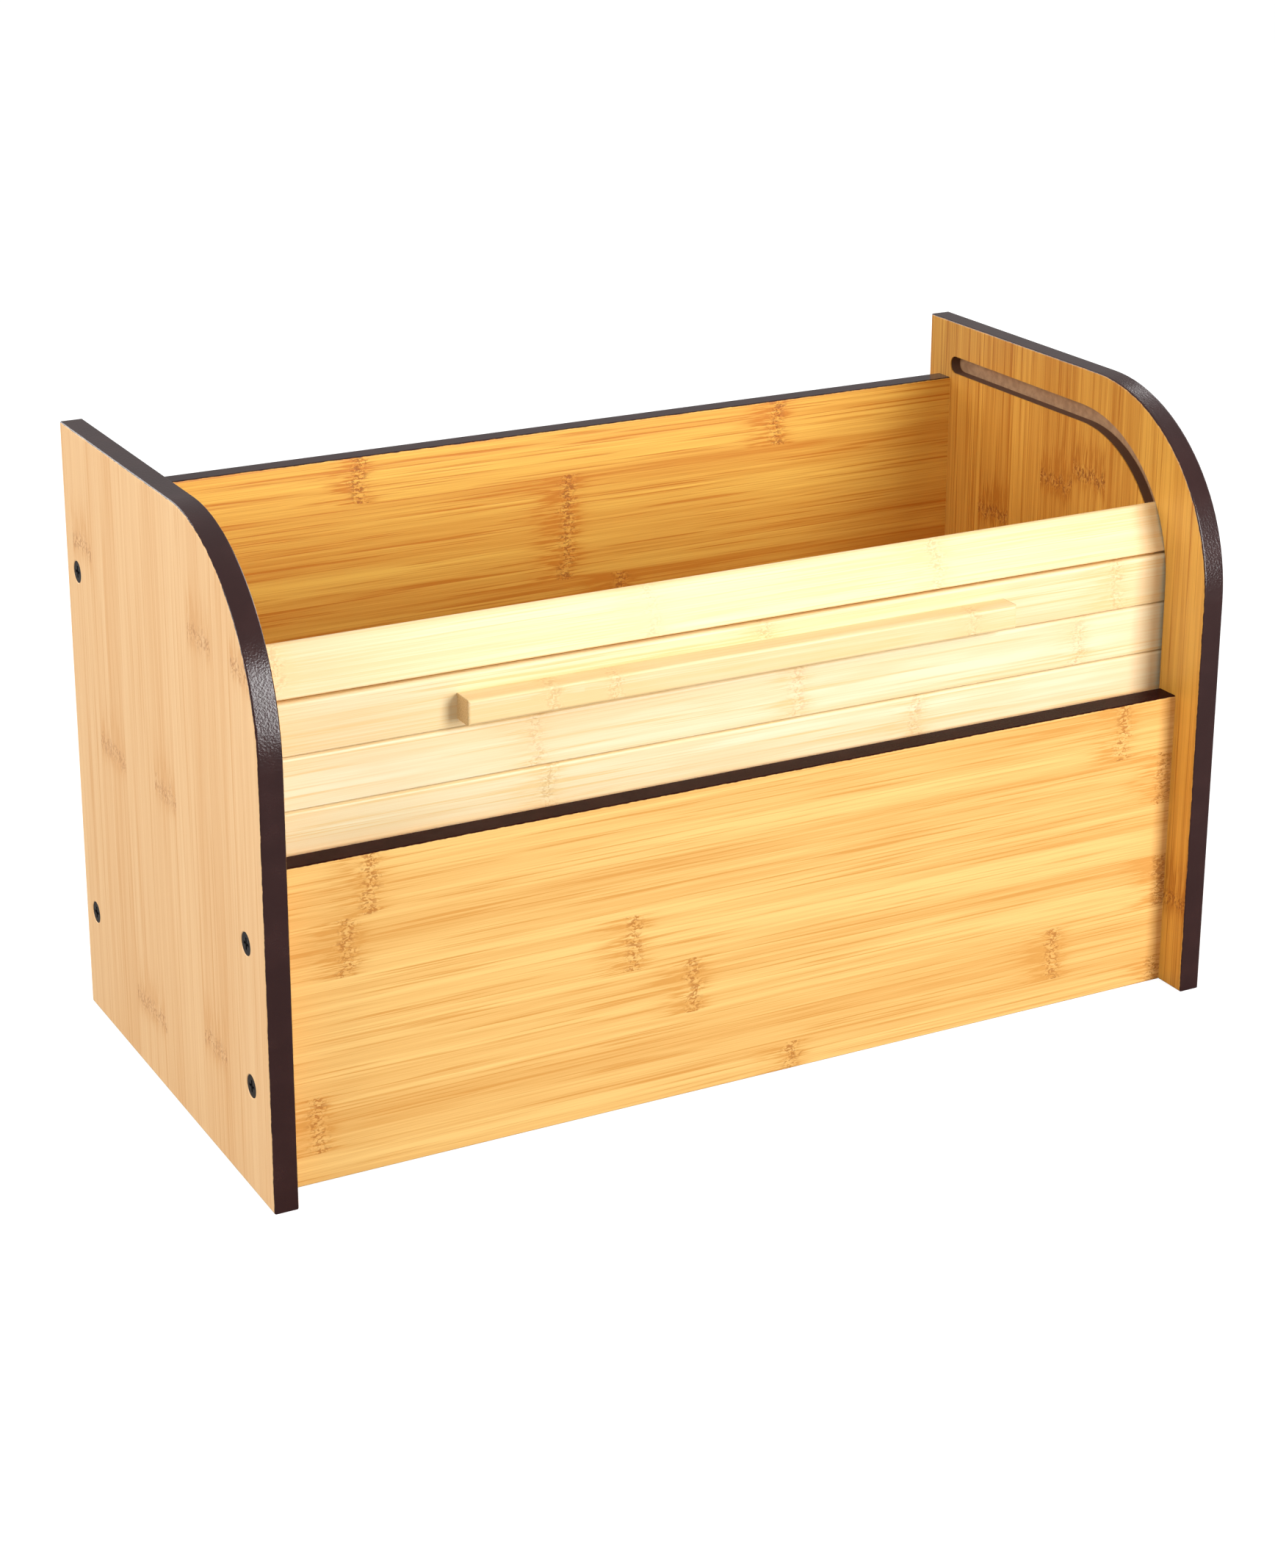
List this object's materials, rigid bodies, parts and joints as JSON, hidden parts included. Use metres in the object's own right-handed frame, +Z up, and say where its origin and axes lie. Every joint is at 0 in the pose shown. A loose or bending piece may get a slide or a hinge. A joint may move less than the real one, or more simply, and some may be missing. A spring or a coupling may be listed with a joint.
{
  "type": "bread box",
  "caption": "Bamboo roll-front bread box with round-shouldered sides, open top and a slatted curtain with a bar handle that slides down behind the front panel.",
  "frame": {"origin": "on the table under the middle of the box", "axes": "+X to the right along the slats, -Y towards the front, +Z up"},
  "size_m": [0.4, 0.195, 0.2395],
  "materials": {
    "bamboo_side": "satin lacquered bamboo",
    "bamboo_panel": "satin lacquered caramel bamboo",
    "bamboo_slat": "satin lacquered pale bamboo",
    "canvas": "plain woven cotton",
    "black_screw": "black oxide"
  },
  "bodies": {
    "case": {"left_side_panel": "bamboo_side", "right_side_panel": "bamboo_side", "back_panel": "bamboo_panel", "front_panel": "bamboo_panel", "bread_floor": "bamboo_panel", "front_panel_screws_left": "black_screw", "front_panel_screws_right": "black_screw", "back_panel_screws_left": "black_screw", "back_panel_screws_right": "black_screw"},
    "curtain_front": {"slat_02": "bamboo_slat", "slat_03": "bamboo_slat", "slat_04": "bamboo_slat", "slat_05": "bamboo_slat", "canvas_02_to_05": "canvas", "handle": "bamboo_slat", "handle_screws": "black_screw"},
    "lead_slat": {"slat_01": "bamboo_slat", "canvas_01": "canvas"},
    "slat_06_section": {"slat_06": "bamboo_slat", "canvas_06": "canvas"},
    "slat_07_section": {"slat_07": "bamboo_slat", "canvas_07": "canvas"},
    "bend_slats": {"slat_08": "bamboo_slat", "slat_09": "bamboo_slat", "canvas_08": "canvas", "canvas_09": "canvas"},
    "slat_10_section": {"slat_10": "bamboo_slat", "canvas_10": "canvas"},
    "slat_11_section": {"slat_11": "bamboo_slat", "canvas_11": "canvas"},
    "tail_slat": {"slat_12": "bamboo_slat", "canvas_12": "canvas"}
  },
  "joints": [
    {"name": "curtain_slide", "type": "slide", "parent": "case", "child": "curtain_front", "axis": [0, 0, -1], "range_m": [0, 0.0384]},
    {"name": "lead_slat_turn", "type": "hinge", "parent": "case", "child": "lead_slat", "pos_m": [0, 0.0285, 0.159], "axis": [1, 0, 0], "range_deg": [0, 22.4]},
    {"name": "slat_06_turn", "type": "hinge", "parent": "case", "child": "slat_06_section", "pos_m": [0, 0.0599, 0.0773], "axis": [1, 0, 0], "range_deg": [0, 17.06]},
    {"name": "slat_07_turn", "type": "hinge", "parent": "case", "child": "slat_07_section", "pos_m": [0, -0.0097, 0.0697], "axis": [1, 0, 0], "range_deg": [0, 36.74]},
    {"name": "bend_slats_turn", "type": "hinge", "parent": "case", "child": "bend_slats", "pos_m": [0, -0.0131, 0.0678], "axis": [1, 0, 0], "range_deg": [0, 39.18]},
    {"name": "slat_10_turn", "type": "hinge", "parent": "case", "child": "slat_10_section", "pos_m": [0, -0.0073, 0.0824], "axis": [1, 0, 0], "range_deg": [0, 30.78]},
    {"name": "slat_11_turn", "type": "hinge", "parent": "case", "child": "slat_11_section", "pos_m": [0, 0.0071, 0.251], "axis": [1, 0, 0], "range_deg": [0, 9.26]},
    {"name": "tail_slat_slide", "type": "slide", "parent": "case", "child": "tail_slat", "axis": [0, 1, 0], "range_m": [0, 0.0386]}
  ],
  "couplings": [
    {"joint": "lead_slat_turn", "follows": "curtain_slide", "rad_per_m": 10.135},
    {"joint": "slat_06_turn", "follows": "curtain_slide", "rad_per_m": 7.7091},
    {"joint": "slat_07_turn", "follows": "curtain_slide", "rad_per_m": 16.652},
    {"joint": "bend_slats_turn", "follows": "curtain_slide", "rad_per_m": 17.762},
    {"joint": "slat_10_turn", "follows": "curtain_slide", "rad_per_m": 13.945},
    {"joint": "slat_11_turn", "follows": "curtain_slide", "rad_per_m": 4.1626},
    {"joint": "tail_slat_slide", "follows": "curtain_slide", "ratio": 1}
  ]
}
